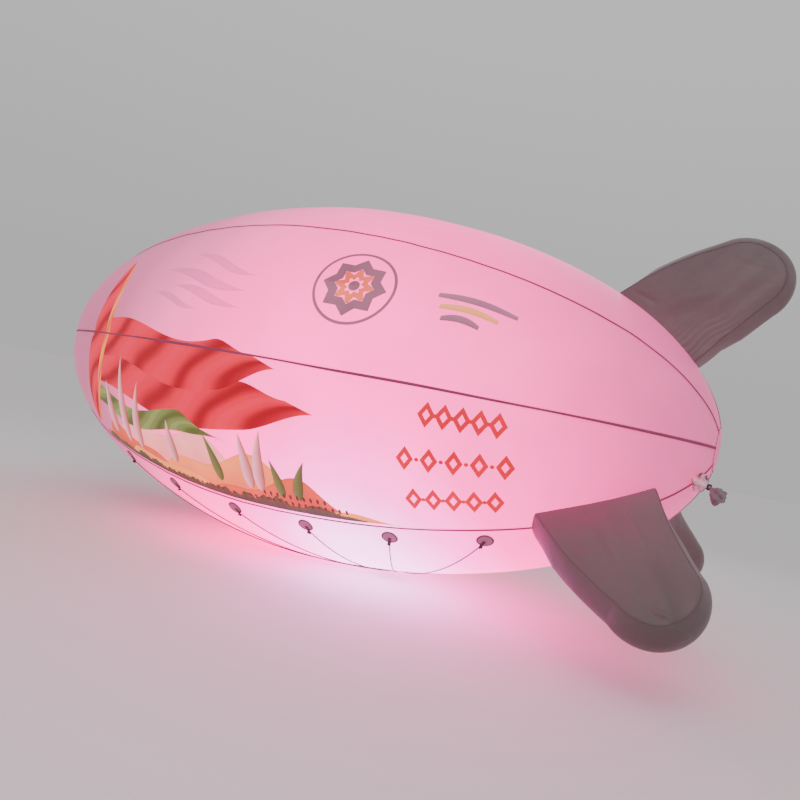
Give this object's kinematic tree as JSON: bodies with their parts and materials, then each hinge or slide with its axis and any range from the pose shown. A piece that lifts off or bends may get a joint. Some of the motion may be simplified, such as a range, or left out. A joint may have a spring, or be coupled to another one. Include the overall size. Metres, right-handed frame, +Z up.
{
  "type": "advertising blimp balloon",
  "caption": "Inflatable advertising blimp: a blunt spindle-shaped envelope welded from long gores, with air-filled tail fins, round load patches and a filling sleeve.",
  "frame": {"origin": "middle of the envelope on its long axis, which is the centre of its buoyancy", "axes": "+X to the nose, +Y to port, +Z up"},
  "size_m": [5.8611, 2.7258, 2.7258],
  "materials": {
    "envelope": "thin translucent coated fabric, lit from inside in pink",
    "tape": "welded double fabric, satin",
    "fin": "thin coated fabric, satin, dusky",
    "patch": "heavy reinforced fabric, matte",
    "ring": "dull galvanised",
    "sleeve": "thin coated fabric, crumpled",
    "tie": "wound cord",
    "line": "braided cord, 6 mm, matte"
  },
  "bodies": {
    "root": {"gore_port_upper_side": "envelope", "gore_port_top": "envelope", "gore_starboard_top": "envelope", "gore_starboard_upper_side": "envelope", "gore_starboard_lower_side": "envelope", "gore_starboard_bottom": "envelope", "gore_port_bottom": "envelope", "gore_port_lower_side": "envelope", "seam_tape_port": "tape", "seam_tape_port_upper": "tape", "seam_tape_top": "tape", "seam_tape_starboard_upper": "tape", "seam_tape_starboard": "tape", "seam_tape_starboard_lower": "tape", "seam_tape_keel": "tape", "seam_tape_port_lower": "tape", "nose_cap": "patch", "tail_cap": "patch", "fin_top_edge_band": "fin", "fin_top_starboard_panel": "fin", "fin_top_port_panel": "fin", "fin_port_edge_band": "fin", "fin_port_lower_panel": "fin", "fin_port_upper_panel": "fin", "fin_starboard_edge_band": "fin", "fin_starboard_upper_panel": "fin", "fin_starboard_lower_panel": "fin", "port_patch_1": "patch", "port_line_1": "line", "port_patch_2": "patch", "port_line_2": "line", "port_patch_3": "patch", "port_line_3": "line", "port_patch_4": "patch", "port_line_4": "line", "port_patch_5": "patch", "port_line_5": "line", "port_patch_6": "patch", "port_line_6": "line", "starboard_patch_1": "patch", "starboard_line_1": "line", "starboard_patch_2": "patch", "starboard_line_2": "line", "starboard_patch_3": "patch", "starboard_line_3": "line", "starboard_patch_4": "patch", "starboard_line_4": "line", "starboard_patch_5": "patch", "starboard_line_5": "line", "starboard_patch_6": "patch", "starboard_line_6": "line", "tether_ring": "ring", "filling_sleeve": "sleeve", "sleeve_tie": "tie", "sleeve_slack_end": "sleeve"}
  },
  "joints": []
}
